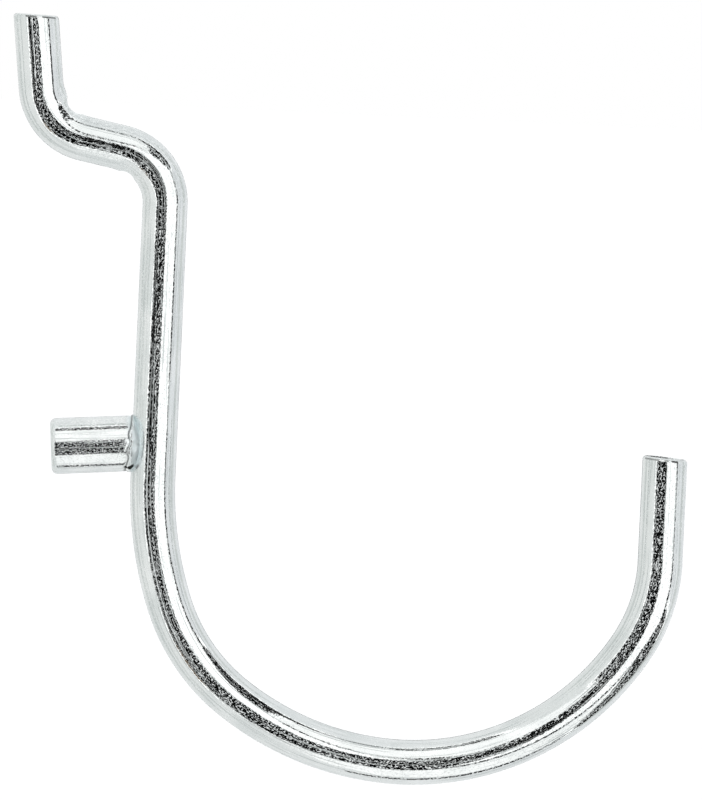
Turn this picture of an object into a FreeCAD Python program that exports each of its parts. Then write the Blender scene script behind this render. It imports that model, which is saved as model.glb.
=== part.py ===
# Curved pegboard hook: one bent length of zinc-plated wire with a locating peg welded to its back.
#
# The hook lies in the XZ plane. X is 0 at the front face of the board, which the back of the shank
# touches, and +X points away from the board. Z is 0 where the peg's axis crosses that face.
# Lengths are in millimetres and angles in degrees.
import FreeCAD, Part
import math
import os

# Board that the hook fits: standard one-inch pitch, quarter-inch hardboard
hole_pitch = 25.4
board_thickness = 6.35
board_clearance = 0.75

# Wire above the shank: upturned leg, bend, sloping crank, bend
wire_diameter = 3.78
leg_length = 6.2
leg_lean = 6.5
bend_radius = 4.7
crank_slope = 11.0

# Cradle, as five bends in a row that end parallel to the shank, and the straight tip after them
entry_radius = 32.0
entry_turn = 19.5
heel_radius = 16.5
heel_turn = 34.0
floor_radius = 25.0
floor_turn = 32.5
toe_radius = 22.2
toe_turn = 62.5
nose_radius = 14.2
cradle_turn = 180.0
tip_length = 8.78

# Sheared ends of the wire
leg_end_slant = 8.0
tip_end_slant = 4.0
end_round = 0.3

# Grooves that the forming pin leaves inside the two tight bends, at angles from the crank's ends
pin_undersize = 1.6
upper_mark_depth = 0.25
upper_mark_angle = 31.0
lower_mark_depth = 0.12
lower_mark_angle = 21.0

# Locating peg: its reach is measured along its axis from the board's front face
peg_diameter = 4.7
peg_reach = 6.85
peg_droop = 4.6
peg_end_round = 0.5

# Weld: how far the wire sinks into the peg, and the ring of metal that is squeezed out
weld_sink = 0.35
flash_width = 0.55
flash_height = 0.18
weld_to_cradle = 0.18

wire_radius = wire_diameter / 2
peg_radius = peg_diameter / 2
inner_radius = bend_radius - wire_radius
pin_radius = inner_radius - pin_undersize
Y_AXIS = FreeCAD.Vector(0, 1, 0)
ORIGIN = FreeCAD.Vector(0, 0, 0)


def direction(angle):
    """Unit vector in the hook's plane, at an angle from +X towards +Z."""
    turn = math.radians(angle)
    return FreeCAD.Vector(math.cos(turn), 0, math.sin(turn))


class Former:
    """Feeds wire from a point and bends it in the hook's plane, keeping its centre line."""

    def __init__(self, point, heading):
        self.point = point
        self.heading = heading
        self.edges = []

    def feed(self, length):
        """Straight wire of the given length."""
        end = self.point + direction(self.heading) * length
        self.edges.append(Part.LineSegment(self.point, end).toShape())
        self.point = end

    def bend(self, radius, turn):
        """Bend on a centre-line radius, to the left where the turn is positive; returns its centre."""
        side = self.heading + math.copysign(90, turn)
        centre = self.point + direction(side) * radius
        middle = centre - direction(side + turn / 2) * radius
        end = centre - direction(side + turn) * radius
        self.edges.append(Part.Arc(self.point, middle, end).toShape())
        self.point = end
        self.heading += turn
        return centre


def shank_top():
    """Point where the shank begins, so that the crank meets its hole one pitch above the peg's."""
    slope = math.tan(math.radians(crank_slope))
    mid_board = -board_thickness / 2
    hole_height = hole_pitch + mid_board * math.tan(math.radians(peg_droop))
    centre_x = wire_radius - bend_radius
    crank_height = hole_height - (centre_x - mid_board) * slope
    centre_z = crank_height - bend_radius / math.cos(math.radians(crank_slope))
    return FreeCAD.Vector(wire_radius, 0, centre_z)


def crank_length():
    """Straight length of the crank that leaves room for the board in front of the upturned leg."""
    swing = bend_radius * math.sin(math.radians(crank_slope))
    lower_end = wire_radius - bend_radius + swing
    leg_front = -(board_thickness + board_clearance)
    upper_centre = leg_front + inner_radius * math.cos(math.radians(leg_lean))
    upper_end = upper_centre - swing
    return (lower_end - upper_end) / math.cos(math.radians(crank_slope))


def half_space(point, heading):
    """Block that holds everything within reach ahead of a point, to shear the wire there."""
    side = 4 * wire_diameter
    block = Part.makeBox(side, side, side, FreeCAD.Vector(-side / 2, -side / 2, 0))
    turn = FreeCAD.Rotation(FreeCAD.Vector(0, 0, 1), direction(heading))
    block.Placement = FreeCAD.Placement(point, turn)
    return block


def round_end(solid, point):
    """Rounds the edge of the flat end face that is centred on a point."""
    face = min(solid.Faces, key=lambda item: item.CenterOfMass.distanceToPoint(point))
    return solid.makeFillet(end_round, face.Edges)


def forming_pin(centre, angle, depth):
    """Pin pressed to a depth into the inner side of a bend, at an angle about the bend's centre."""
    middle = centre + direction(angle) * (inner_radius + depth - pin_radius)
    pin = Part.makeCylinder(pin_radius, 2 * wire_diameter)
    seam_away = FreeCAD.Rotation(-direction(angle), FreeCAD.Vector(), Y_AXIS, "ZXY")
    pin.Placement = FreeCAD.Placement(middle - Y_AXIS * wire_diameter, seam_away)
    return pin


def hook_wire():
    """The bent wire, from the sheared top of the leg to the sheared tip."""
    start = shank_top()
    spare = wire_diameter

    upper = Former(start, 90)
    lower_centre = upper.bend(bend_radius, 90 - crank_slope)
    upper.feed(crank_length())
    upper_centre = upper.bend(bend_radius, crank_slope + leg_lean - 90)
    upper.feed(leg_length)
    leg_end = upper.point
    upper.feed(spare)

    lower = Former(start, -90)
    lower.feed(start.z + peg_radius + flash_height + weld_to_cradle)
    lower.bend(entry_radius, entry_turn)
    lower.bend(heel_radius, heel_turn)
    lower.bend(floor_radius, floor_turn)
    lower.bend(toe_radius, toe_turn)
    lower.bend(nose_radius, cradle_turn - entry_turn - heel_turn - floor_turn - toe_turn)
    lower.feed(tip_length)
    tip_end = lower.point
    lower.feed(spare)

    centre_line = Part.Wire(upper.edges[::-1] + lower.edges)
    section = Part.Circle(upper.point, direction(upper.heading), wire_radius).toShape()
    wire = centre_line.makePipeShell([Part.Wire(section)], True, False)

    leg_cut = half_space(leg_end, upper.heading - leg_end_slant)
    tip_cut = half_space(tip_end, lower.heading - tip_end_slant)
    wire = wire.cut([leg_cut, tip_cut])
    wire = round_end(wire, leg_end)
    wire = round_end(wire, tip_end)

    crank_side = 90 - crank_slope
    upper_pin = forming_pin(upper_centre, crank_side + 180 - upper_mark_angle, upper_mark_depth)
    lower_pin = forming_pin(lower_centre, crank_side - lower_mark_angle, lower_mark_depth)
    return wire.cut([upper_pin, lower_pin]).Solids[0]


def peg_blank():
    """Turned form of the peg along X, with the ring of weld flash at the end that meets the wire."""
    free_end = -peg_reach
    flash_start = weld_sink - flash_width
    flash_crest = weld_sink - flash_width / 2
    flash_radius = peg_radius + flash_height
    curve = peg_end_round * (1 - math.sqrt(0.5))

    def point(along, radius):
        return FreeCAD.Vector(along, 0, radius)

    corners = [
        Part.LineSegment(point(free_end, 0), point(free_end, peg_radius - peg_end_round)),
        Part.Arc(
            point(free_end, peg_radius - peg_end_round),
            point(free_end + curve, peg_radius - curve),
            point(free_end + peg_end_round, peg_radius),
        ),
        Part.LineSegment(point(free_end + peg_end_round, peg_radius), point(flash_start, peg_radius)),
        Part.LineSegment(point(flash_start, peg_radius), point(flash_crest, flash_radius)),
        Part.LineSegment(point(flash_crest, flash_radius), point(weld_sink, flash_radius)),
        Part.LineSegment(point(weld_sink, flash_radius), point(weld_sink, 0)),
        Part.LineSegment(point(weld_sink, 0), point(free_end, 0)),
    ]
    outline = Part.Wire([item.toShape() for item in corners])
    return Part.Face(outline).revolve(ORIGIN, FreeCAD.Vector(1, 0, 0), 360)


def locating_peg(wire):
    """The peg at its droop, with its end saddled onto the back of the shank."""
    peg = peg_blank()
    peg.rotate(ORIGIN, Y_AXIS, -peg_droop)
    return peg.cut(wire).Solids[0]


def main():
    """Builds both pieces and writes each to its own file."""
    os.makedirs("parts", exist_ok=True)
    wire = hook_wire()
    pieces = {"hook_wire": wire, "locating_peg": locating_peg(wire)}
    for name, solid in pieces.items():
        solid.exportStep(os.path.join("parts", name + ".step"))


main()
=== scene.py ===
"""Dresses a curved pegboard hook: a bent, zinc-plated wire with a locating peg welded to its back.

Sizes in the classes are in millimetres and degrees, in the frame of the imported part. The hook lies in
the XZ plane, the board's front face is at X 0, and the peg's axis crosses that face at Z 0.
"""

import logging
import math
from collections.abc import Callable
from dataclasses import dataclass, field
from enum import Enum

import bmesh
import bpy
import numpy as np
from mathutils import Matrix, Vector


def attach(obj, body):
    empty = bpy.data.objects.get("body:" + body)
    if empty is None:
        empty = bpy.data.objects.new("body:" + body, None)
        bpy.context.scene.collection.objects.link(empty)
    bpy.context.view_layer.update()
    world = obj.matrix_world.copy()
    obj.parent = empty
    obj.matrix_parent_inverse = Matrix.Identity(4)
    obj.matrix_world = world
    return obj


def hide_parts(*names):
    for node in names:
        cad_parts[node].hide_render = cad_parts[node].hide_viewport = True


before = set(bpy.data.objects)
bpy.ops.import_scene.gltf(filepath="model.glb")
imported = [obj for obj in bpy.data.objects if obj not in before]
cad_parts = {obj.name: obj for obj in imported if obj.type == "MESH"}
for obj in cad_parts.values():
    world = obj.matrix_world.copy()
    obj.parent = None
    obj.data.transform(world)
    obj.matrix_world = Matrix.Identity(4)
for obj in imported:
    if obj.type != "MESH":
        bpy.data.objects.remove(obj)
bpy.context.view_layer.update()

LOG = logging.getLogger("pegboard_hook")
MM = 0.001
BODY = "root"
DRAWN = "drawn"
MARKED = "marked"
# How far off a plane a vertex may lie and still count as on it
FLAT = 0.01
# Width of each ring that a closed end face is divided into
INSET = 0.22

Colour = tuple[float, float, float, float]


class WireEnd(Enum):
    """The two sheared ends of the wire, named for what they end."""

    LEG = "leg"
    TIP = "tip"


class Side(Enum):
    """Which side of the hook a card of the studio stands on: the camera's, or the far one."""

    NEAR = 1.0
    FAR = -1.0


class Tone(Enum):
    """How a card of the studio shows in the plating: sRGB colour, light, and distance in metres."""

    WHITE = ("#ffffff", 1.4, 2.4)
    SOFT = ("#ffffff", 1.16, 2.4)
    FAINT = ("#d9dcdb", 1.0, 2.6)
    SHADE = ("#d3d7d6", 1.0, 2.6)
    GREY = ("#7c8080", 1.0, 2.2)
    DARK = ("#070808", 1.0, 2.0)
    WARM = ("#75634f", 1.0, 1.9)
    EDGE = ("#ffffff", 1.5, 2.7)

    @property
    def colour(self) -> str:
        """The card's sRGB colour as a hex value."""
        return self.value[0]

    @property
    def light(self) -> float:
        """How strongly the card shines."""
        return self.value[1]

    @property
    def distance(self) -> float:
        """How far the card stands from the hook, in metres."""
        return self.value[2]


def linear(code: str) -> Colour:
    """Turns an sRGB colour into the linear one that shaders take.

    Args:
        code: The colour as a hex value, such as "#dfe4e3".

    Returns:
        Linear red, green and blue, with an alpha of 1.
    """
    shares = [int(code[start : start + 2], 16) / 255 for start in (1, 3, 5)]
    red, green, blue = [s / 12.92 if s <= 0.04045 else ((s + 0.055) / 1.055) ** 2.4 for s in shares]
    return red, green, blue, 1.0


def direction(angle: float) -> Vector:
    """Gives a unit vector in the hook's plane.

    Args:
        angle: Degrees from +X towards +Z.

    Returns:
        The unit vector.
    """
    turn = math.radians(angle)
    return Vector((math.cos(turn), 0.0, math.sin(turn)))


def add_node(
    tree: bpy.types.NodeTree,
    kind: str,
    inputs: dict[str | int, object] | None = None,
    **settings: object,
) -> bpy.types.Node:
    """Adds one node to a tree, with its settings, values and links.

    Args:
        tree: The node tree that gets it.
        kind: Blender's name for the kind of node.
        inputs: A value, or an output of another node, for each input by name or number.
        **settings: Properties of the node itself.

    Returns:
        The new node.
    """
    made = tree.nodes.new(kind)
    for name, value in settings.items():
        setattr(made, name, value)
    for name, value in (inputs or {}).items():
        if isinstance(value, bpy.types.NodeSocket):
            tree.links.new(value, made.inputs[name])
        else:
            made.inputs[name].default_value = value
    return made


def new_material(name: str) -> tuple[bpy.types.Material, bpy.types.NodeTree]:
    """Makes a material with an empty node tree.

    Args:
        name: The material's name.

    Returns:
        The material and its tree.
    """
    material = bpy.data.materials.new(name)
    material.use_nodes = True
    material.node_tree.nodes.clear()
    return material, material.node_tree


def select_where(test: Callable[[Vector], bool]) -> None:
    """Selects the vertices of the mesh in edit mode by their place.

    Args:
        test: Says of a place in metres whether a vertex there is selected.
    """
    mesh = bmesh.from_edit_mesh(bpy.context.edit_object.data)
    for part in (mesh.faces, mesh.edges, mesh.verts):
        for item in part:
            item.select = False
    for vert in mesh.verts:
        vert.select = test(vert.co)
    mesh.select_flush(True)
    bmesh.update_edit_mesh(bpy.context.edit_object.data)


def apply_modifier(piece: bpy.types.Object, kind: str, **settings: object) -> None:
    """Adds a modifier to a piece and applies it at once.

    Args:
        piece: The object that gets it.
        kind: Blender's name for the kind of modifier.
        **settings: Properties of the modifier.
    """
    bpy.ops.object.select_all(action="DESELECT")
    piece.select_set(True)
    bpy.context.view_layer.objects.active = piece
    modifier = piece.modifiers.new(kind.lower(), kind)
    for name, value in settings.items():
        setattr(modifier, name, value)
    bpy.ops.object.modifier_apply(modifier=modifier.name)


def drop_tool(tool: bpy.types.Object) -> None:
    """Deletes an object that only served to shape a piece.

    Args:
        tool: The object.
    """
    bpy.ops.object.select_all(action="DESELECT")
    tool.select_set(True)
    bpy.ops.object.delete()


@dataclass(frozen=True)
class Run:
    """One stretch of a centre line in the hook's plane, straight or bent to one radius.

    Attributes:
        start: Where it begins.
        heading: Its direction there, from +X towards +Z.
        length: Its length along the centre line.
        turn: How far it bends, to the left where positive.
        rings: How many rings of the mesh it is swept in.
    """

    start: Vector
    heading: float
    length: float
    turn: float
    rings: int

    @property
    def radius(self) -> float:
        """Radius of the bend."""
        return self.length / math.radians(abs(self.turn))

    @property
    def out(self) -> Vector:
        """Unit vector from the centre of the bend to the run's start."""
        return direction(self.heading - math.copysign(90, self.turn))

    @property
    def centre(self) -> Vector:
        """Centre of the bend."""
        return self.start - self.out * self.radius

    @property
    def end(self) -> Vector:
        """Where the run ends."""
        if not self.turn:
            return self.start + direction(self.heading) * self.length
        leaving = self.heading + self.turn
        return self.centre + direction(leaving - math.copysign(90, self.turn)) * self.radius

    def backwards(self) -> "Run":
        """The same stretch, followed the other way."""
        return Run(self.end, self.heading + self.turn + 180, self.length, -self.turn, self.rings)

    def sweep(self) -> None:
        """Carries the selected ring of the mesh in edit mode along the run."""
        if self.turn:
            bpy.ops.mesh.spin(
                steps=self.rings,
                angle=math.radians(self.turn),
                center=self.centre * MM,
                axis=(0.0, 1.0, 0.0),
            )
        else:
            step = direction(self.heading) * (self.length / self.rings)
            bpy.ops.mesh.extrude_repeat(steps=self.rings, offset=step * MM)

    def straighten(self, points: np.ndarray) -> np.ndarray:
        """Finds where points would lie if the run were laid out straight.

        Args:
            points: One row of X, Y and Z for each point.

        Returns:
            One row for each point: along the run, to its left, and across the hook's plane.
        """
        forward = np.array(direction(self.heading))
        if not self.turn:
            offset = points - np.array(self.start)
            along = offset @ forward
            left = offset @ np.array(direction(self.heading + 90))
        else:
            arm = points - np.array(self.centre)
            ahead = arm @ forward
            outward = arm @ np.array(self.out)
            along = np.arctan2(ahead, outward) * self.radius
            left = (self.radius - np.hypot(ahead, outward)) * math.copysign(1, self.turn)
        return np.stack([along, left, points[:, 1]], axis=1)


class CentreLine:
    """A wire's centre line, fed out and bent as the wire is formed."""

    def __init__(self, start: Vector, heading: float, spacing: float) -> None:
        """Starts a line with no runs.

        Args:
            start: Where it begins.
            heading: Its direction there.
            spacing: Distance between the rings of the mesh along it.
        """
        self.point = start
        self.heading = heading
        self.spacing = spacing
        self.runs: list[Run] = []

    def feed(self, length: float, rings: int = 0) -> None:
        """Adds a straight run.

        Args:
            length: Its length.
            rings: How many rings it is swept in, or 0 for the line's spacing.
        """
        self._add(length, 0.0, rings)

    def bend(self, radius: float, turn: float) -> Vector:
        """Adds a bend.

        Args:
            radius: Its radius at the centre line.
            turn: Its angle, to the left where positive.

        Returns:
            The centre of the bend.
        """
        self._add(radius * math.radians(abs(turn)), turn, 0)
        return self.runs[-1].centre

    def _add(self, length: float, turn: float, rings: int) -> None:
        """Adds one run at the line's end.

        Args:
            length: Its length along the centre line.
            turn: How far it bends, or 0 where it is straight.
            rings: How many rings it is swept in, or 0 for the line's spacing.
        """
        rings = rings or max(1, round(length / self.spacing))
        run = Run(self.point, self.heading, length, turn, rings)
        self.runs.append(run)
        self.point = run.end
        self.heading += turn

    def straighten(self, points: np.ndarray) -> np.ndarray:
        """Finds where points of the wire lay before it was bent.

        Args:
            points: One row of X, Y and Z for each point.

        Returns:
            One row for each point: along the wire, to its left, and across the hook's plane.
        """
        best = np.full(len(points), np.inf)
        flat = np.zeros_like(points)
        begun = 0.0
        for run in self.runs:
            laid = run.straighten(points)
            beyond = np.maximum(np.maximum(-laid[:, 0], laid[:, 0] - run.length), 0.0)
            miss = np.hypot(beyond, laid[:, 1])
            nearer = miss < best
            best[nearer] = miss[nearer]
            laid[:, 0] += begun
            flat[nearer] = laid[nearer]
            begun += run.length
        return flat


def start_ring(name: str, run: Run, radius: float, facets: int) -> bpy.types.Object:
    """Adds the ring of vertices that a wire or bar is swept from, and enters edit mode.

    Args:
        name: Name of the new piece.
        run: The run that the ring starts, which it stands square to.
        radius: Radius of the ring.
        facets: How many vertices it has.

    Returns:
        The new piece, with its place in its mesh and the whole ring selected.
    """
    bpy.ops.object.select_all(action="DESELECT")
    bpy.ops.mesh.primitive_circle_add(
        vertices=facets,
        radius=radius * MM,
        fill_type="NOTHING",
        location=run.start * MM,
        rotation=(0.0, math.radians(90 - run.heading), 0.0),
    )
    bpy.ops.object.transform_apply(location=True, rotation=True, scale=True)
    piece = bpy.context.active_object
    piece.name = name
    piece.data.name = name
    bpy.ops.object.mode_set(mode="EDIT")
    bpy.ops.mesh.select_mode(type="VERT")
    bpy.ops.mesh.select_all(action="SELECT")
    return piece


def close_end(point: Vector, heading: float, rounding: float, reach: float, insets: int) -> None:
    """Cuts the mesh in edit mode square to a heading, closes it there and rounds the new edge.

    Args:
        point: Centre of the cut.
        heading: Direction that the cut face looks in.
        rounding: Radius of the rounded edge.
        reach: How far from the point the mesh is cut.
        insets: How many rings the closed face is divided into.
    """
    centre = point * MM
    outward = direction(heading)
    select_where(lambda place: (place - centre).length < reach * MM)
    bpy.ops.mesh.bisect(plane_co=centre, plane_no=outward, use_fill=True, clear_outer=True)
    bpy.ops.mesh.bevel(offset=rounding * MM, segments=6, profile=0.5, affect="EDGES")
    select_where(
        lambda place: (place - centre).length < reach * MM
        and abs((place - centre).dot(outward)) < FLAT * MM
    )
    for _ in range(insets):
        bpy.ops.mesh.inset(thickness=INSET * MM, depth=0.0)
    bpy.ops.mesh.poke()


def finish_mesh(piece: bpy.types.Object) -> None:
    """Leaves edit mode with the mesh closed up, its faces outward and its curves smooth.

    Args:
        piece: The piece in edit mode.
    """
    bpy.ops.mesh.select_all(action="SELECT")
    bpy.ops.mesh.remove_doubles(threshold=0.001 * MM)
    bpy.ops.mesh.normals_make_consistent(inside=False)
    bpy.ops.object.mode_set(mode="OBJECT")
    bpy.ops.object.shade_smooth_by_angle(angle=math.radians(40))


def store_rows(piece: bpy.types.Object, name: str, rows: np.ndarray) -> None:
    """Keeps three values for each vertex, which the finish reads.

    Args:
        piece: The piece whose mesh gets the attribute.
        name: The attribute's name.
        rows: One row for each vertex.
    """
    layer = piece.data.attributes.new(name, "FLOAT_VECTOR", "POINT")
    layer.data.foreach_set("vector", rows.astype(np.float32).ravel())


def places(piece: bpy.types.Object) -> np.ndarray:
    """Reads the vertices of a piece.

    Args:
        piece: The piece to read.

    Returns:
        One row of X, Y and Z in millimetres for each vertex.
    """
    flat = np.zeros(len(piece.data.vertices) * 3, np.float32)
    piece.data.vertices.foreach_get("co", flat)
    return flat.reshape(-1, 3).astype(float) / MM


@dataclass(frozen=True)
class BrightZincPlate:
    """Bright zinc electroplate over cold-drawn steel.

    The plate is thin and shiny, so it mirrors the studio sharply. It keeps the marks of the steel
    below: matte specks of the pickled surface, which show as salt-and-pepper grain wherever the
    mirror is dark, stripes that the drawing die burnished clear of specks, scratches that it left
    along the wire, and a fine orange peel that makes the edge of every reflection ragged.

    Specks, scratches and peel are drawn a pixel of the photograph or more in width, 0.085 mm, so that
    they show. On a real hook they are likely finer.

    Attributes:
        light_tone: Colour of the clean plate, with dull_tone where it is cloudy, streak_tone in its
        scratches, heat_tone where the weld heated it, and soot_tone where shade is painted dark
        in the bead's crease and pits and a dark reflection is painted round the wire's sheared rims.
        bright_roughness: Roughness of the clean plate, with matte_roughness where it is marked and
            heat_roughness where the weld heated it.
        speck_width: Size of a speck across the bar, with speck_run along it. The same two are given
            for the burnished stripes, the scratches and the peel.
        speck_level: Where in the scatter a mark begins and where it is full, as for the other marks.
        speck_metal: How metallic a speck looks, from 0 to 1.
        burnish_rest: Share of the specks that is left in a burnished stripe.
        hairline_width: Spacing of the hairlines, which curl over patches that were handled.
        patch_width: Size of such a patch.
        score_level: Wear at which a scored line begins, and where it is full.
        peel_height: Height of the orange peel.
        cloud_width: Size of a cloudy patch.
    """

    light_tone: str = "#f3f5f4"
    dull_tone: str = "#e4e8e7"
    streak_tone: str = "#d5dad9"
    heat_tone: str = "#e9f0f1"
    # Painted shade in the bead's crease and pits, and a painted dark reflection round the sheared rims
    soot_tone: str = "#2a2c2c"
    bright_roughness: float = 0.04
    matte_roughness: float = 0.5
    heat_roughness: float = 0.38
    speck_width: float = 0.095
    speck_run: float = 0.18
    speck_level: tuple[float, float] = (0.555, 0.575)
    speck_metal: float = 0.15
    burnish_width: float = 0.4
    burnish_run: float = 30.0
    burnish_level: tuple[float, float] = (0.53, 0.66)
    burnish_rest: float = 0.1
    scratch_width: float = 0.1
    scratch_run: float = 9.0
    scratch_level: tuple[float, float] = (0.58, 0.64)
    hairline_width: float = 1.2
    hairline_level: tuple[float, float] = (0.47, 0.53)
    patch_width: float = 3.5
    patch_level: tuple[float, float] = (0.6, 0.66)
    score_level: tuple[float, float] = (-0.5, -0.65)
    peel_width: float = 0.13
    peel_run: float = 0.26
    peel_height: float = 0.0045
    cloud_width: float = 3.0
    cloud_level: tuple[float, float] = (0.3, 0.7)

    def material(self) -> bpy.types.Material:
        """Builds the finish's material.

        Returns:
            The material.
        """
        material, tree = new_material("bright_zinc_plate")
        drawn = add_node(tree, "ShaderNodeAttribute", attribute_name=DRAWN).outputs["Vector"]
        marked = add_node(tree, "ShaderNodeAttribute", attribute_name=MARKED).outputs["Vector"]
        # The second channel is painted dark: shade in the bead's crease and pits, and a dark reflection
        # round the sheared rims
        heat, soot, wear = add_node(tree, "ShaderNodeSeparateXYZ", {"Vector": marked}).outputs
        burnish = self.marks(tree, drawn, self.burnish_width, self.burnish_run, self.burnish_level)
        smooth = add_node(tree, "ShaderNodeMath", {0: burnish, 1: wear}, operation="MAXIMUM")
        unworn = add_node(
            tree,
            "ShaderNodeMapRange",
            {"Value": smooth.outputs[0], "To Min": 1.0, "To Max": self.burnish_rest},
        )
        specks = add_node(
            tree,
            "ShaderNodeMath",
            {
                0: self.marks(tree, drawn, self.speck_width, self.speck_run, self.speck_level),
                1: unworn.outputs["Result"],
            },
            operation="MULTIPLY",
        ).outputs[0]
        loops = self.marks(tree, drawn, self.hairline_width, self.hairline_width, self.hairline_level)
        handled = self.marks(tree, drawn, self.patch_width, self.patch_width, self.patch_level)
        # Folding the step at its middle leaves a line along its border
        ridges = add_node(tree, "ShaderNodeMath", {0: loops, 1: 0.5}, operation="PINGPONG")
        hairlines = add_node(
            tree,
            "ShaderNodeMath",
            {0: ridges.outputs[0], 1: handled},
            operation="MULTIPLY",
        ).outputs[0]
        scored = add_node(
            tree,
            "ShaderNodeMapRange",
            {"Value": wear, "From Min": self.score_level[0], "From Max": self.score_level[1]},
        )
        for share in (hairlines, scored.outputs["Result"]):
            specks = add_node(tree, "ShaderNodeMath", {0: specks, 1: share}, operation="MAXIMUM").outputs[0]
        scratches = self.marks(tree, drawn, self.scratch_width, self.scratch_run, self.scratch_level)
        clouds = self.marks(tree, drawn, self.cloud_width, self.cloud_width, self.cloud_level)
        peel = self.marks(tree, drawn, self.peel_width, self.peel_run, (0.0, 1.0))

        colour = linear(self.light_tone)
        tones = (
            (clouds, self.dull_tone),
            (scratches, self.streak_tone),
            (heat, self.heat_tone),
            # Painted shade and painted dark reflection
            (soot, self.soot_tone),
        )
        for share, tone in tones:
            colour = add_node(
                tree,
                "ShaderNodeMixRGB",
                {"Fac": share, "Color1": colour, "Color2": linear(tone)},
            ).outputs["Color"]
        matte = specks
        for share in (scratches, soot):
            matte = add_node(tree, "ShaderNodeMath", {0: matte, 1: share}, operation="MAXIMUM").outputs[0]
        roughness = add_node(
            tree,
            "ShaderNodeMapRange",
            {"Value": matte, "To Min": self.bright_roughness, "To Max": self.matte_roughness},
        )
        satin = add_node(tree, "ShaderNodeMath", {0: heat, 1: self.heat_roughness}, operation="MULTIPLY")
        roughness = add_node(
            tree,
            "ShaderNodeMath",
            {0: roughness.outputs["Result"], 1: satin.outputs[0]},
            operation="MAXIMUM",
        )
        metal = add_node(
            tree,
            "ShaderNodeMapRange",
            {"Value": specks, "To Min": 1.0, "To Max": self.speck_metal},
        )
        relief = add_node(
            tree,
            "ShaderNodeBump",
            {"Height": peel, "Distance": self.peel_height * MM, "Strength": 1.0},
        )
        shader = add_node(
            tree,
            "ShaderNodeBsdfPrincipled",
            {
                "Base Color": colour,
                "Metallic": metal.outputs["Result"],
                "Roughness": roughness.outputs[0],
                "Normal": relief.outputs["Normal"],
            },
        )
        add_node(tree, "ShaderNodeOutputMaterial", {"Surface": shader.outputs["BSDF"]})
        return material

    def marks(
        self,
        tree: bpy.types.NodeTree,
        drawn: bpy.types.NodeSocket,
        width: float,
        run: float,
        level: tuple[float, float],
    ) -> bpy.types.NodeSocket:
        """Scatters marks of one size over the drawn bar.

        Args:
            tree: The material's tree.
            drawn: Where each point lay on the straight bar, in millimetres.
            width: Width of one mark across the bar.
            run: Length of one mark along the bar.
            level: How much of the scatter is left bare, and how much of it stays below a full mark.

        Returns:
            The share of the marks at each point, from 0 to 1.
        """
        laid = add_node(
            tree,
            "ShaderNodeVectorMath",
            {0: drawn, 1: (1 / run, 1 / width, 1 / width)},
            operation="MULTIPLY",
        )
        noise = add_node(
            tree,
            "ShaderNodeTexNoise",
            {"Vector": laid.outputs[0], "Scale": 1.0, "Detail": 2.0},
        )
        step = add_node(
            tree,
            "ShaderNodeMapRange",
            {"Value": noise.outputs["Fac"], "From Min": level[0], "From Max": level[1]},
        )
        return step.outputs["Result"]


@dataclass(frozen=True)
class Weld:
    """Where the weld's heat tints the plating round the peg's foot, and where shade is painted dark in the
    bead's crease and pits.

    Attributes:
        droop: How far the peg's axis dips from the board.
        tint_reach: How far up the wire's flank the heat tints it, and over what length that fades.
        tint_radius: How far from the peg's axis it does, and over what length that fades.
        tint_end: How far out along the peg it does, and over what length that fades.
        crease: Distance of the bead's outer crease from the board's face.
        lean: How far the crease leans towards the wire at its top.
        nicks: Height and outward shift of each bulge of the crease, which is ragged.
        soot_width: Width of the painted shade along the crease.
        soot_strength: How dark the painted shade is level with the peg's axis, and at
            soot_height from it.
        pit_soot: How far the painted shade of a pit reaches, as a share of its radius.
        pits: Centre and radius of each pit in the bead.
    """

    droop: float = 4.6
    tint_reach: tuple[float, float] = (1.1, 0.5)
    tint_radius: tuple[float, float] = (2.6, 0.3)
    tint_end: tuple[float, float] = (0.4, 0.2)
    crease: float = 0.3
    lean: float = 7.0
    nicks: tuple[tuple[float, float], ...] = (
        (-2.0, 0.1),
        (-1.2, -0.08),
        (-0.5, 0.1),
        (0.2, -0.09),
        (0.9, 0.07),
        (1.6, -0.08),
    )
    soot_width: float = 0.06
    soot_strength: tuple[float, float] = (0.45, 0.85)
    soot_height: float = 1.5
    pit_soot: float = 1.15
    pits: tuple[tuple[tuple[float, float, float], float], ...] = (
        ((0.02, -1.36, -2.02), 0.3),
        ((-0.45, -1.34, -1.97), 0.12),
    )

    def marks(self, points: np.ndarray, on_wire: bool) -> np.ndarray:
        """Finds how strongly the weld marks points of a piece.

        Args:
            points: One row of X, Y and Z for each point.
            on_wire: Whether the points lie on the wire, and not on the peg.

        Returns:
            One row for each point: heat tint and painted shade, from 0 to 1, and no wear.
        """
        axis = np.array(direction(180 + self.droop))
        out = points @ axis
        aside = np.linalg.norm(points - out[:, None] * axis, axis=1)
        rise = points @ np.array(direction(90 + self.droop))
        heat = np.clip((self.tint_reach[0] + out) / self.tint_reach[1], 0, 1)
        heat *= np.clip((self.tint_radius[0] - aside) / self.tint_radius[1], 0, 1)
        soot = np.zeros(len(points))
        if not on_wire:
            heat *= np.clip((self.tint_end[0] - out) / self.tint_end[1], 0, 1)
            # Shade is painted dark along the bead's ragged crease, where it meets the peg, fading away from
            # the crease
            ragged = np.interp(rise, *zip(*self.nicks))
            creased = out - self.crease - ragged + rise * math.tan(math.radians(self.lean))
            strength = np.interp(np.abs(rise), (0.0, self.soot_height), self.soot_strength)
            soot = strength * np.exp(-((creased / self.soot_width) ** 2))
            # Each pit, and a little round it, is painted dark as shade
            for centre, radius in self.pits:
                near = np.linalg.norm(points - np.array(centre), axis=1)
                soot = np.maximum(soot, near < self.pit_soot * radius)
        return np.stack([heat, soot, np.zeros(len(points))], axis=1)


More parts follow.
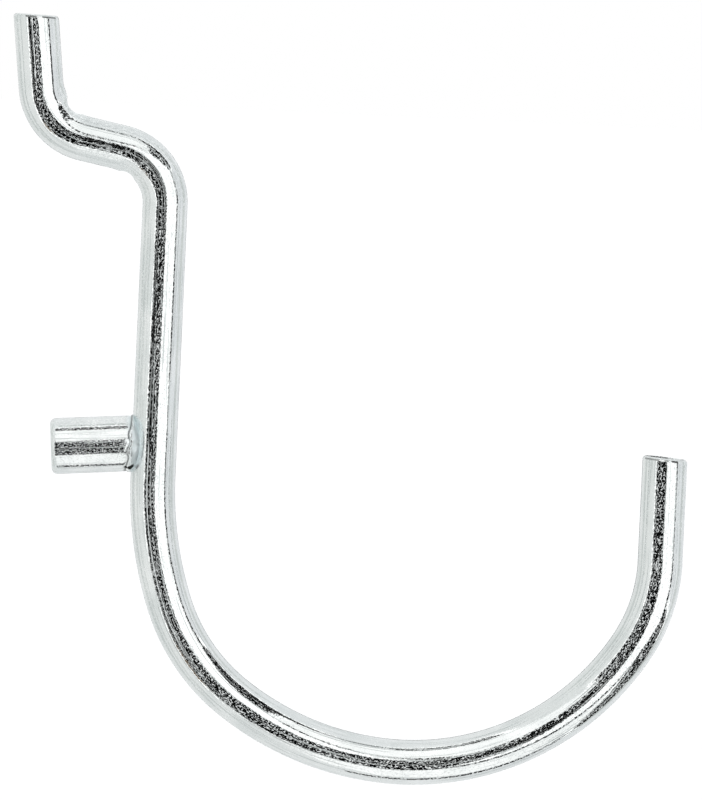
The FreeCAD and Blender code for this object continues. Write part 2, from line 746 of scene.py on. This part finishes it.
@dataclass(frozen=True)
class PinMark:
    """The dent that the forming pin leaves inside a bend, with the metal heaped up beside it.

    Attributes:
        angle: Where the pin presses, about the bend's centre from +X towards +Z.
        depth: How far it presses in.
        heap_angle: Where the metal heaps up.
        heap_height: How far it stands out.
        heap_reach: How far round the heap's crest the metal is moved.
    """

    angle: float
    depth: float
    heap_angle: float
    heap_height: float
    heap_reach: float


@dataclass(frozen=True)
class DieMarks:
    """Lines that the drawing die left along one stretch of the wire.

    Attributes:
        reach: Distances below the shank's top between which they show.
        fade: Distances over which they fade in and out.
        lines: Angle from the camera's side and wear of each, smooth where positive and scored where
            negative.
    """

    reach: tuple[float, float]
    fade: tuple[float, float]
    lines: tuple[tuple[float, float], ...]


@dataclass
class HookWire:
    """The bent wire: upturned leg, sloping crank, shank, open cradle and straight tip.

    Attributes:
        entry: Radius and turn of the cradle's first bend, with heel, floor, toe and nose after it.
        plain_end: Length before each end that is one long face, which the shear then cuts.
        heap_crest: How near the crest of a heap the metal is lifted by its full height.
        tear_start: Distance past a sheared face's middle where it begins to tear out, to tear_depth,
            with a grain of tear_grain, up to tear_margin short of its rounded edge.
        rim_band: How far below a sheared face the painted dark reflection round its rim begins and ends.
        rim_marks: Angle from the camera's side, half width and strength of each stroke of that
            broken line, for each end.
        rubbed_side: Share of the radius towards the inside where what hangs there begins to rub the
            plating smooth, and where it has rubbed most.
        rub: How smooth it has rubbed it there, from 0 to 1.
        die_marks: Lines of the drawing die, on the cradle's first bends and on the leg.
        scuff: Wear where the forming pin has slid over the plating.
        scuff_reach: How far from the pin's mark that shows.
        scuff_share: Share of the plating there that it has left matte, in spots.
    """

    hole_pitch: float = 25.4
    board_thickness: float = 6.35
    board_clearance: float = 0.75
    diameter: float = 3.78
    leg_length: float = 6.2
    leg_lean: float = 6.5
    bend_radius: float = 4.7
    crank_slope: float = 11.0
    peg_droop: float = 4.6
    shank_below_peg: float = 2.71
    entry: tuple[float, float] = (32.0, 19.5)
    heel: tuple[float, float] = (16.5, 34.0)
    floor: tuple[float, float] = (25.0, 32.5)
    toe: tuple[float, float] = (22.2, 62.5)
    nose: tuple[float, float] = (14.2, 31.5)
    tip_length: float = 8.78
    end_slant: dict[WireEnd, float] = field(default_factory=lambda: {WireEnd.LEG: 8.0, WireEnd.TIP: 4.0})
    end_round: float = 0.3
    plain_end: float = 1.2
    pin_radius: float = 1.21
    upper_mark: PinMark = PinMark(228.0, 0.25, 199.0, 0.13, 0.9)
    lower_mark: PinMark = PinMark(58.0, 0.12, 75.0, 0.05, 0.5)
    heap_crest: float = 0.15
    tear_start: float = 0.35
    tear_depth: float = 0.1
    tear_grain: float = 0.03
    tear_margin: float = 0.1
    rim_band: tuple[float, float] = (0.1, 0.24)
    rim_marks: dict[WireEnd, tuple[tuple[float, float, float], ...]] = field(
        default_factory=lambda: {
            WireEnd.LEG: ((-12.0, 15.0, 0.8), (40.0, 22.0, 0.7), (105.0, 30.0, 0.5), (190.0, 40.0, 0.6)),
            WireEnd.TIP: ((-45.0, 24.0, 0.6), (0.0, 4.0, 0.6), (23.0, 9.0, 1.0), (190.0, 40.0, 0.6)),
        }
    )
    rubbed_side: tuple[float, float] = (0.35, 0.5)
    rub: float = 0.7
    die_marks: tuple[DieMarks, ...] = (
        DieMarks(
            (18.0, 44.0),
            (3.0, 8.0),
            ((-22.5, 1.0), (-18.75, 0.6), (-15.0, -1.0), (-11.25, 0.6), (-3.75, 0.6)),
        ),
        DieMarks(
            (-30.0, -10.0),
            (3.0, 8.0),
            ((-22.5, 0.7), (-18.75, 1.0), (-15.0, 1.0), (-11.25, -0.9)),
        ),
    )
    scuff: float = -1.0
    scuff_reach: float = 1.4
    scuff_share: float = 0.4
    weld: Weld = Weld()
    facets: int = 96
    spacing: float = 0.25
    bend_spacing: float = 0.14

    @property
    def radius(self) -> float:
        """Radius of the wire."""
        return self.diameter / 2

    def shank_top(self) -> Vector:
        """Gives the top of the shank.

        Returns:
            The point that puts the crank in the hole one pitch above the peg's.
        """
        slope = math.tan(math.radians(self.crank_slope))
        mid_board = -self.board_thickness / 2
        hole_height = self.hole_pitch + mid_board * math.tan(math.radians(self.peg_droop))
        centre_x = self.radius - self.bend_radius
        crank_height = hole_height - (centre_x - mid_board) * slope
        centre_z = crank_height - self.bend_radius / math.cos(math.radians(self.crank_slope))
        return Vector((self.radius, 0.0, centre_z))

    def crank_length(self) -> float:
        """Gives the straight length of the crank.

        Returns:
            The length that leaves room for the board in front of the leg.
        """
        swing = self.bend_radius * math.sin(math.radians(self.crank_slope))
        lower_end = self.radius - self.bend_radius + swing
        leg_front = -(self.board_thickness + self.board_clearance)
        inner = self.bend_radius - self.radius
        upper_end = leg_front + inner * math.cos(math.radians(self.leg_lean)) - swing
        return (lower_end - upper_end) / math.cos(math.radians(self.crank_slope))

    def form(self) -> tuple[CentreLine, dict[WireEnd, tuple[Vector, float]], dict[PinMark, Vector]]:
        """Lays out the centre line from the leg to the tip.

        Returns:
            The centre line, which overshoots both ends, each end's centre and heading, and the
            centre of the bend that each pin mark is in.
        """
        top = self.shank_top()
        spare = self.diameter
        up = CentreLine(top, 90.0, self.bend_spacing)
        lower_centre = up.bend(self.bend_radius, 90 - self.crank_slope)
        up.feed(self.crank_length())
        upper_centre = up.bend(self.bend_radius, self.crank_slope + self.leg_lean - 90)
        up.feed(self.leg_length - self.plain_end)
        leg_end = up.point + direction(up.heading) * self.plain_end
        up.feed(self.plain_end + spare, 1)

        down = CentreLine(top, -90.0, self.spacing)
        down.feed(top.z + self.shank_below_peg)
        for radius, turn in (self.entry, self.heel, self.floor, self.toe, self.nose):
            down.bend(radius, turn)
        down.feed(self.tip_length - self.plain_end)
        tip_end = down.point + direction(down.heading) * self.plain_end
        down.feed(self.plain_end + spare, 1)

        ends = {WireEnd.LEG: (leg_end, up.heading), WireEnd.TIP: (tip_end, down.heading)}
        marks = {self.upper_mark: upper_centre, self.lower_mark: lower_centre}
        down.runs = [run.backwards() for run in reversed(up.runs)] + down.runs
        return down, ends, marks

    def tear_end(self, point: Vector, heading: float) -> None:
        """Breaks out the last part of a sheared face in edit mode, as a blunt shear does.

        Args:
            point: Centre of the face.
            heading: Direction that it looks in.
        """
        outward = direction(heading)
        late = direction(heading - 90)
        rim = self.radius - self.end_round - self.tear_margin

        def torn(place: Vector) -> bool:
            """Says whether a vertex lies in the part that tears out."""
            arm = place / MM - point
            return arm.length < rim and abs(arm.dot(outward)) < FLAT and arm.dot(late) > self.tear_start

        select_where(torn)
        bpy.ops.transform.translate(value=outward * -self.tear_depth * MM)
        bpy.ops.transform.vertex_random(offset=self.tear_grain * MM, seed=4)

    def rim_soot(self, points: np.ndarray, ends: dict[WireEnd, tuple[Vector, float]]) -> np.ndarray:
        """Finds the painted dark reflection, a broken line round the rim of each sheared end.

        Args:
            points: One row of X, Y and Z for each point of the wire.
            ends: Centre and heading of each end.

        Returns:
            The strength of the line at each point, from 0 to 1.
        """
        soot = np.zeros(len(points))
        for end, (point, heading) in ends.items():
            arm = points - np.array(point)
            below = -arm @ np.array(direction(heading - self.end_slant[end]))
            near = np.linalg.norm(arm, axis=1) < self.diameter
            on_rim = near & (below > self.rim_band[0]) & (below < self.rim_band[1])
            turn = np.degrees(np.arctan2(arm @ np.array(direction(heading - 90)), -arm[:, 1]))
            for angle, half_width, strength in self.rim_marks[end]:
                gap = np.abs((turn - angle + 180) % 360 - 180)
                # Each stroke paints a dark reflection on the rounded rim
                soot = np.maximum(soot, strength * (on_rim & (gap < half_width)))
        return soot

    def wear(self, drawn: np.ndarray, shank_start: float) -> np.ndarray:
        """Finds where use and the drawing die have worn the plating.

        Args:
            drawn: One row for each point: along the straight wire, to its left, and across it.
            shank_start: How far along the wire the shank begins.

        Returns:
            The wear at each point, from -1 where it is scored matte to 1 where it is rubbed smooth.
        """
        below = drawn[:, 0] - shank_start
        inner = np.interp(drawn[:, 1] / self.radius, self.rubbed_side, (0.0, 1.0))
        wear = self.rub * inner * np.clip(below, 0.0, 1.0)
        turn = np.degrees(np.arctan2(drawn[:, 1], -drawn[:, 2]))
        for die in self.die_marks:
            stops = (die.reach[0], die.reach[0] + die.fade[0], die.reach[1] - die.fade[1], die.reach[1])
            shown = np.interp(below, stops, (0.0, 1.0, 1.0, 0.0))
            for angle, strength in die.lines:
                on_line = (np.abs(turn - angle) < 180 / self.facets) & (shown > 0)
                wear = np.where(on_line, strength * shown, wear)
        return wear

    def press_pin(self, wire: bpy.types.Object, mark: PinMark, centre: Vector) -> None:
        """Presses the forming pin into a bend, after heaping up the metal that it moves.

        Args:
            wire: The bent wire.
            mark: The mark to make.
            centre: Centre of the bend.
        """
        inner = self.bend_radius - self.radius
        crest = centre + direction(mark.heap_angle) * inner
        bpy.ops.object.mode_set(mode="EDIT")
        select_where(
            lambda place: math.hypot(place.x / MM - crest.x, place.z / MM - crest.z) < self.heap_crest
        )
        bpy.ops.transform.translate(
            value=direction(mark.heap_angle) * -mark.heap_height * MM,
            use_proportional_edit=True,
            proportional_edit_falloff="SMOOTH",
            proportional_size=mark.heap_reach * MM,
        )
        bpy.ops.object.mode_set(mode="OBJECT")
        bpy.ops.object.select_all(action="DESELECT")
        bpy.ops.mesh.primitive_cylinder_add(
            vertices=180,
            radius=self.pin_radius * MM,
            depth=2 * self.diameter * MM,
            location=(centre + direction(mark.angle) * (inner + mark.depth - self.pin_radius)) * MM,
            rotation=(math.radians(90), 0.0, 0.0),
        )
        pin = bpy.context.active_object
        apply_modifier(
            wire, "SHRINKWRAP", target=pin, wrap_method="NEAREST_SURFACEPOINT", wrap_mode="OUTSIDE"
        )
        drop_tool(pin)

    def build(self) -> bpy.types.Object:
        """Models the wire.

        Returns:
            The new piece.
        """
        line, ends, marks = self.form()
        wire = start_ring("bent_wire", line.runs[0], self.radius, self.facets)
        for run in line.runs:
            run.sweep()
        for end, (point, heading) in ends.items():
            looking = heading - self.end_slant[end]
            close_end(point, looking, self.end_round, reach=2 * self.diameter, insets=7)
            self.tear_end(point, looking)
        finish_mesh(wire)
        drawn = line.straighten(places(wire))
        store_rows(wire, DRAWN, drawn)
        scuffed = np.zeros(len(drawn), bool)
        spots = np.random.default_rng(5).random(len(drawn)) < self.scuff_share
        for mark, centre in marks.items():
            self.press_pin(wire, mark, centre)
            contact = centre + direction(mark.angle) * (self.bend_radius - self.radius)
            arm = places(wire) - np.array(contact)
            scuffed |= spots & (np.hypot(arm[:, 0], arm[:, 2]) < self.scuff_reach)
        marked = self.weld.marks(places(wire), on_wire=True)
        # The painted dark reflection round the sheared rims joins the painted shade of the weld
        marked[:, 1] = np.maximum(marked[:, 1], self.rim_soot(places(wire), ends))
        shank_start = line.straighten(np.array([self.shank_top()]))[0, 0]
        marked[:, 2] = np.where(scuffed, self.scuff, self.wear(drawn, shank_start))
        store_rows(wire, MARKED, marked)
        return wire

    def dress(self, wire: bpy.types.Object, plating: bpy.types.Material) -> None:
        """Plates the wire and sets it in the frame.

        Args:
            wire: The modelled wire.
            plating: Its finish.
        """
        wire.data.materials.append(plating)
        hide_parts("hook_wire")
        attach(wire, BODY)


@dataclass
class LocatingPeg:
    """The stub of round bar on the back of the shank, with the bead of its weld.

    Attributes:
        bead: Distance from the board's face and radius of each ring of the bead, from the wire out.
        nick_reach: How far round a bulge of the bead's ragged edge the metal is moved.
        fineness: How much finer the grain of the bar's surface is than the wire's.
        end_wear: Wear of the flat end, which the shear left matte.
        end_margin: How far below the flat end that reaches.
    """

    diameter: float = 4.7
    reach: float = 6.85
    droop: float = 4.6
    end_round: float = 0.5
    wire_diameter: float = 3.78
    bead: tuple[tuple[float, float], ...] = (
        (-0.68, 1.3),
        (-0.58, 1.52),
        (-0.46, 1.76),
        (-0.34, 1.97),
        (-0.22, 2.14),
        (-0.11, 2.27),
        (-0.03, 2.35),
        (0.02, 2.4),
        (0.08, 2.43),
        (0.14, 2.43),
        (0.2, 2.41),
        (0.25, 2.37),
        (0.28, 2.33),
        (0.31, 2.31),
        (0.35, 2.33),
        (0.42, 2.35),
        (0.7, 2.35),
        (1.0, 2.35),
        (1.3, 2.35),
        (1.6, 2.35),
    )
    bead_lumps: float = 0.04
    nick_reach: float = 0.38
    fineness: float = 1.3
    end_wear: float = -0.6
    end_margin: float = 0.02
    weld: Weld = Weld()
    facets: int = 120
    spacing: float = 0.2
    plain_end: float = 1.2

    def build_bead(self, name: str) -> bpy.types.Object:
        """Draws out the bead from the wire to the bar, and leaves its last ring selected in edit mode.

        Args:
            name: Name of the new piece.

        Returns:
            The new piece.
        """
        heading = 180 + self.droop
        outward = direction(heading)
        place, radius = self.bead[0]
        peg = start_ring(name, Run(outward * place, heading, 1.0, 0.0, 1), radius, self.facets)
        span = (place, self.weld.crease, self.bead[-1][0])
        lean = 0.0
        for next_place, next_radius in self.bead[1:]:
            bpy.ops.mesh.extrude_region_move(
                TRANSFORM_OT_translate={"value": outward * (next_place - place) * MM}
            )
            share = next_radius / radius
            centre = outward * next_place * MM
            bpy.ops.transform.resize(value=(share,) * 3, center_override=centre)
            next_lean = float(np.interp(next_place, span, (0.0, self.weld.lean, 0.0)))
            bpy.ops.transform.rotate(
                value=math.radians(lean - next_lean), orient_axis="Y", center_override=centre
            )
            place, radius, lean = next_place, next_radius, next_lean
        return peg

    def roughen_bead(self) -> None:
        """Makes the bead lumpy in edit mode, and closes the end that goes into the wire."""
        outward = direction(180 + self.droop)
        upward = direction(90 + self.droop)
        slope = math.tan(math.radians(self.weld.lean))
        select_where(
            lambda place: place.dot(outward) + slope * place.dot(upward) < self.weld.crease * MM
        )
        bpy.ops.transform.vertex_random(offset=self.bead_lumps * MM, normal=1.0, seed=7)
        bpy.ops.mesh.vertices_smooth(factor=0.5, repeat=1)
        for height, shift in self.weld.nicks:
            aside = Vector((0.0, -math.sqrt(self.diameter**2 / 4 - height**2), 0.0))
            crest = (outward * (self.weld.crease - slope * height) + upward * height + aside) * MM
            select_where(lambda place: (place - crest).length < 0.5 * self.nick_reach * MM)
            bpy.ops.transform.translate(
                value=outward * shift * MM,
                use_proportional_edit=True,
                proportional_edit_falloff="SMOOTH",
                proportional_size=self.nick_reach * MM,
            )
        bpy.ops.mesh.select_all(action="DESELECT")
        bpy.ops.mesh.select_non_manifold(extend=False)
        bpy.ops.mesh.edge_face_add()

    def saddle(self, peg: bpy.types.Object) -> None:
        """Cuts the shape of the wire out of the peg's end, and the pits out of its bead.

        Args:
            peg: The whole peg.
        """
        bpy.ops.object.select_all(action="DESELECT")
        radius = self.wire_diameter / 2
        bpy.ops.mesh.primitive_cylinder_add(
            vertices=96,
            radius=radius * MM,
            depth=3 * self.diameter * MM,
            location=(radius * MM, 0.0, 0.0),
        )
        tools = [bpy.context.active_object]
        for centre, size in self.weld.pits:
            bpy.ops.mesh.primitive_ico_sphere_add(
                subdivisions=3, radius=size * MM, location=Vector(centre) * MM
            )
            tools.append(bpy.context.active_object)
        for tool in tools:
            apply_modifier(peg, "BOOLEAN", object=tool, operation="DIFFERENCE", solver="EXACT")
            drop_tool(tool)

    def build(self) -> bpy.types.Object:
        """Models the peg.

        Returns:
            The new piece.
        """
        heading = 180 + self.droop
        outward = direction(heading)
        foot = self.bead[-1][0]
        peg = self.build_bead("welded_peg")
        line = CentreLine(outward * foot, heading, self.spacing)
        line.feed(self.reach - foot - self.plain_end)
        line.feed(self.plain_end + self.diameter, 1)
        for run in line.runs:
            run.sweep()
        close_end(outward * self.reach, heading, self.end_round, reach=1.5 * self.diameter, insets=8)
        self.roughen_bead()
        finish_mesh(peg)
        self.saddle(peg)
        store_rows(peg, DRAWN, self.fineness * line.straighten(places(peg)))
        marked = self.weld.marks(places(peg), on_wire=False)
        marked[:, 2] = self.end_wear * (places(peg) @ np.array(outward) > self.reach - self.end_margin)
        store_rows(peg, MARKED, marked)
        return peg

    def dress(self, peg: bpy.types.Object, plating: bpy.types.Material) -> None:
        """Plates the peg and sets it in the frame.

        Args:
            peg: The modelled peg.
            plating: Its finish.
        """
        peg.data.materials.append(plating)
        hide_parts("locating_peg")
        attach(peg, BODY)


@dataclass(frozen=True)
class Card:
    """A flat card of the studio that the plating mirrors.

    Attributes:
        name: The card's name.
        tone: How bright it is.
        outline: Its corners, in degrees to the right of the lens and above it, as the hook sees them.
        side: The side of the hook that it stands on.
    """

    name: str
    tone: Tone
    outline: tuple[tuple[float, float], ...]
    side: Side = Side.NEAR

    def edging(self, margin: float) -> "Card":
        """Backs the card with a white one that shows all round it.

        Args:
            margin: How far the white card stands out, in degrees.

        Returns:
            The white card.
        """
        middle = [sum(values) / len(values) for values in zip(*self.outline)]
        grown = []
        for corner in self.outline:
            arm = Vector((corner[0] - middle[0], corner[1] - middle[1]))
            arm *= 1 + margin / arm.length
            grown.append((middle[0] + arm.x, middle[1] + arm.y))
        return Card(self.name + "_edging", Tone.EDGE, tuple(grown), self.side)


CARDS = (
    Card(
        "lens_side",
        Tone.DARK,
        ((-41, 12), (-31, 30), (-13, 12), (-2, 17), (13, 3), (14, -9), (6, -39), (-40, -40)),
    ),
    Card("upper_softbox", Tone.SOFT, ((-24, 63), (36, 57), (26, 31), (0, 14), (-12, 11), (-27, 31))),
    Card("right_softbox", Tone.WHITE, ((2, 22), (61, 25), (63, -27), (40, -32), (4, -34))),
    Card("lower_softbox", Tone.SOFT, ((0, -41), (40, -39), (48, -60), (48, -76), (-14, -87), (-20, -50))),
    Card(
        "upper_right_gap",
        Tone.DARK,
        ((22, 72), (43, 66), (60, 55), (74, 42), (60, 28), (26, 27), (38, 54)),
    ),
    Card(
        "lower_right_gap",
        Tone.DARK,
        ((40, -29), (73, -27), (90, -37), (85, -57), (73, -74), (56, -82), (48, -62)),
    ),
    Card("lens_corner", Tone.WARM, ((-42, -8), (-32, -12), (-25, -24), (-26, -41), (-41, -41))),
    Card("top_slit", Tone.DARK, ((-22, 78), (11, 78), (11, 64), (-22, 63))),
    Card("top_slit_end", Tone.GREY, ((11, 75), (30, 72), (30, 65), (11, 67))),
    Card("bottom_slit", Tone.DARK, ((-17, -87), (54, -76), (54, -88), (-17, -98))),
    Card(
        "right_slit",
        Tone.DARK,
        ((58, 32), (66, 32), (68, 20), (70, -20), (69, -36), (61, -36), (62, -20), (60, 20)),
    ),
    Card("mid_slit", Tone.DARK, ((4, -33), (40, -31), (40, -37), (4, -40))),
    Card("shoulder_slit", Tone.DARK, ((-1, 13), (3, 23), (25, 30), (25, 26), (7, 19), (3, 11))),
    Card(
        "left_fold",
        Tone.FAINT,
        (
            *((-74, 60), (-90, 27), (-92, 0), (-87, -28), (-62, -72)),
            *((-56, -66), (-79, -26), (-84, 0), (-82, 25), (-67, 55)),
        ),
    ),
    Card("far_left", Tone.SHADE, ((-52, 60), (-38, 60), (-38, -60), (-52, -60)), Side.FAR),
    Card("far_right", Tone.SHADE, ((38, 60), (52, 60), (52, -60), (38, -60)), Side.FAR),
    Card(
        "far_side",
        Tone.DARK,
        ((-15, 0), (-11, 11), (0, 15), (11, 11), (15, 0), (11, -11), (0, -15), (-11, -11)),
        Side.FAR,
    ),
)
EDGED = ("lens_side", "upper_right_gap", "lower_right_gap", "top_slit")


@dataclass
class Studio:
    """The floor, the light tent with its cards, the lamp and the camera.

    Attributes:
        look_at: Point that the camera aims at.
        frame_height: Height of what the picture shows there.
        azimuth: How far the camera stands round to the right of the hook's face, with elevation above
            it, and roll about its own axis.
        floor_lift: Light that the camera sees added to the floor, which keeps it nearly white.
        lamp_spread: Angle that the lamp fills, which softens the shadow.
        lamp_tilt: How far the lamp leans from straight overhead.
        tent_left: Colour of the tent's cloth towards the board, with tent_right away from it.
        tent_folds: Light of the cloth deep in its folds and on top of them.
        fold_scale: How many folds the tent has from its middle to its side.
        fold_level: Where in their pattern the folds are deepest and highest.
        edging: How far the white edging of a card shows, in degrees.
    """

    look_at: tuple[float, float, float] = (18.331, 0.0, 4.4725)
    frame_height: float = 67.675
    camera_distance: float = 600.0
    azimuth: float = -2.0
    elevation: float = 2.5
    roll: float = 2.62
    sensor: float = 36.0
    floor_height: float = -42.0
    floor_width: float = 40000.0
    floor_tone: str = "#e8e8e8"
    floor_lift: float = 0.15
    lamp_light: float = 0.8
    lamp_spread: float = 14.0
    lamp_tilt: tuple[float, float] = (12.0, 6.0)
    tent_left: str = "#eff1f0"
    tent_right: str = "#eef0f3"
    tent_folds: tuple[float, float] = (0.94, 1.04)
    fold_scale: float = 6.0
    fold_level: tuple[float, float] = (0.3, 0.7)
    backdrop: str = "#ffffff"
    edging: float = 4.5

    def axes(self) -> tuple[Vector, Vector, Vector]:
        """Gives the camera's own directions.

        Returns:
            Unit vectors to the right of the picture, up it, and from the hook to the lens.
        """
        turn = math.radians(self.azimuth)
        rise = math.radians(self.elevation)
        back = Vector((math.sin(turn) * math.cos(rise), -math.cos(turn) * math.cos(rise), math.sin(rise)))
        right = Vector((0.0, 0.0, 1.0)).cross(back).normalized()
        up = back.cross(right)
        tilt = math.radians(self.roll)
        rolled_right = right * math.cos(tilt) + up * math.sin(tilt)
        return rolled_right, back.cross(rolled_right), back

    def add_camera(self) -> None:
        """Sets up the camera at the photograph's viewing angle."""
        right, up, back = self.axes()
        camera = bpy.data.cameras.new("camera")
        camera.lens = self.sensor * self.camera_distance / self.frame_height
        camera.sensor_width = self.sensor
        stand = bpy.data.objects.new("camera", camera)
        place = (Vector(self.look_at) + back * self.camera_distance) * MM
        stand.matrix_world = Matrix.Translation(place) @ Matrix((right, up, back)).transposed().to_4x4()
        bpy.context.scene.collection.objects.link(stand)
        bpy.context.scene.camera = stand

    def add_card(self, card: Card) -> None:
        """Stands one card in the studio, where only reflections show it.

        Args:
            card: The card.
        """
        right, up, back = self.axes()
        bpy.ops.object.select_all(action="DESELECT")
        bpy.ops.mesh.primitive_circle_add(vertices=len(card.outline), fill_type="NGON")
        board = bpy.context.active_object
        board.name = "card_" + card.name
        for corner, (across, above) in zip(board.data.vertices, card.outline):
            angle = math.radians(math.hypot(across, above))
            aside = (right * across * card.side.value + up * above).normalized()
            ray = back * card.side.value * math.cos(angle) + aside * math.sin(angle)
            corner.co = ray * card.tone.distance
        material, tree = new_material(board.name)
        shine = add_node(
            tree,
            "ShaderNodeEmission",
            {"Color": linear(card.tone.colour), "Strength": card.tone.light},
        )
        add_node(tree, "ShaderNodeOutputMaterial", {"Surface": shine.outputs["Emission"]})
        board.data.materials.append(material)
        board.visible_camera = False
        board.visible_diffuse = False
        board.visible_shadow = False

    def add_floor(self) -> None:
        """Lays a plain pale floor that keeps the hook's shadow."""
        bpy.ops.object.select_all(action="DESELECT")
        bpy.ops.mesh.primitive_plane_add(
            size=self.floor_width * MM, location=(0.0, 0.0, self.floor_height * MM)
        )
        floor = bpy.context.active_object
        floor.name = "floor"
        material, tree = new_material("pale_floor")
        paint = add_node(tree, "ShaderNodeBsdfDiffuse", {"Color": linear(self.floor_tone)})
        lift = add_node(
            tree,
            "ShaderNodeEmission",
            {"Color": linear(self.backdrop), "Strength": self.floor_lift},
        )
        both = add_node(
            tree,
            "ShaderNodeAddShader",
            {0: paint.outputs["BSDF"], 1: lift.outputs["Emission"]},
        )
        path = add_node(tree, "ShaderNodeLightPath")
        seen = add_node(
            tree,
            "ShaderNodeMixShader",
            {0: path.outputs["Is Camera Ray"], 1: paint.outputs["BSDF"], 2: both.outputs["Shader"]},
        )
        add_node(tree, "ShaderNodeOutputMaterial", {"Surface": seen.outputs["Shader"]})
        floor.data.materials.append(material)
        floor.visible_glossy = False

    def add_lamp(self) -> None:
        """Hangs a soft lamp overhead, which only gives the hook its shadow on the floor."""
        lamp = bpy.data.lights.new("overhead_lamp", "SUN")
        lamp.energy = self.lamp_light
        lamp.angle = math.radians(self.lamp_spread)
        hung = bpy.data.objects.new("overhead_lamp", lamp)
        hung.rotation_euler = (math.radians(self.lamp_tilt[0]), math.radians(self.lamp_tilt[1]), 0.0)
        hung.visible_glossy = False
        bpy.context.scene.collection.objects.link(hung)

    def add_tent(self) -> None:
        """Hangs the pale light tent round the hook, which the camera sees as plain white."""
        world = bpy.data.worlds.new("light_tent")
        world.use_nodes = True
        tree = world.node_tree
        tree.nodes.clear()
        place = add_node(tree, "ShaderNodeTexCoord")
        parts = add_node(tree, "ShaderNodeSeparateXYZ", {"Vector": place.outputs["Generated"]})
        share = add_node(
            tree,
            "ShaderNodeMapRange",
            {"Value": parts.outputs["X"], "From Min": -1.0, "From Max": 1.0},
        )
        cloth = add_node(
            tree,
            "ShaderNodeMixRGB",
            {
                "Fac": share.outputs["Result"],
                "Color1": linear(self.tent_left),
                "Color2": linear(self.tent_right),
            },
        )
        folds = add_node(
            tree,
            "ShaderNodeTexNoise",
            {"Vector": place.outputs["Generated"], "Scale": self.fold_scale, "Detail": 3.0},
        )
        shade = add_node(
            tree,
            "ShaderNodeMapRange",
            {
                "Value": folds.outputs["Fac"],
                "From Min": self.fold_level[0],
                "From Max": self.fold_level[1],
                "To Min": self.tent_folds[0],
                "To Max": self.tent_folds[1],
            },
        )
        tent = add_node(
            tree,
            "ShaderNodeBackground",
            {"Color": cloth.outputs["Color"], "Strength": shade.outputs["Result"]},
        )
        white = add_node(tree, "ShaderNodeBackground", {"Color": linear(self.backdrop), "Strength": 1.0})
        path = add_node(tree, "ShaderNodeLightPath")
        seen = add_node(
            tree,
            "ShaderNodeMixShader",
            {
                0: path.outputs["Is Camera Ray"],
                1: tent.outputs["Background"],
                2: white.outputs["Background"],
            },
        )
        add_node(tree, "ShaderNodeOutputWorld", {"Surface": seen.outputs["Shader"]})
        bpy.context.scene.world = world

    def build(self) -> None:
        """Sets up the whole studio."""
        bpy.context.scene.view_settings.view_transform = "Standard"
        self.add_camera()
        self.add_tent()
        self.add_floor()
        self.add_lamp()
        for card in CARDS:
            self.add_card(card)
            if card.name in EDGED:
                self.add_card(card.edging(self.edging))


def main() -> None:
    """Builds the hook piece by piece, then the studio round it."""
    logging.basicConfig(level=logging.INFO, format="%(name)s: %(message)s")
    plating = BrightZincPlate().material()
    for maker in (HookWire(), LocatingPeg()):
        piece = maker.build()
        maker.dress(piece, plating)
        mesh = piece.data
        LOG.info("%s: %d vertices, %d faces", piece.name, len(mesh.vertices), len(mesh.polygons))
    Studio().build()
    LOG.info("studio: %d cards", len(CARDS))


if __name__ == "__main__":
    main()
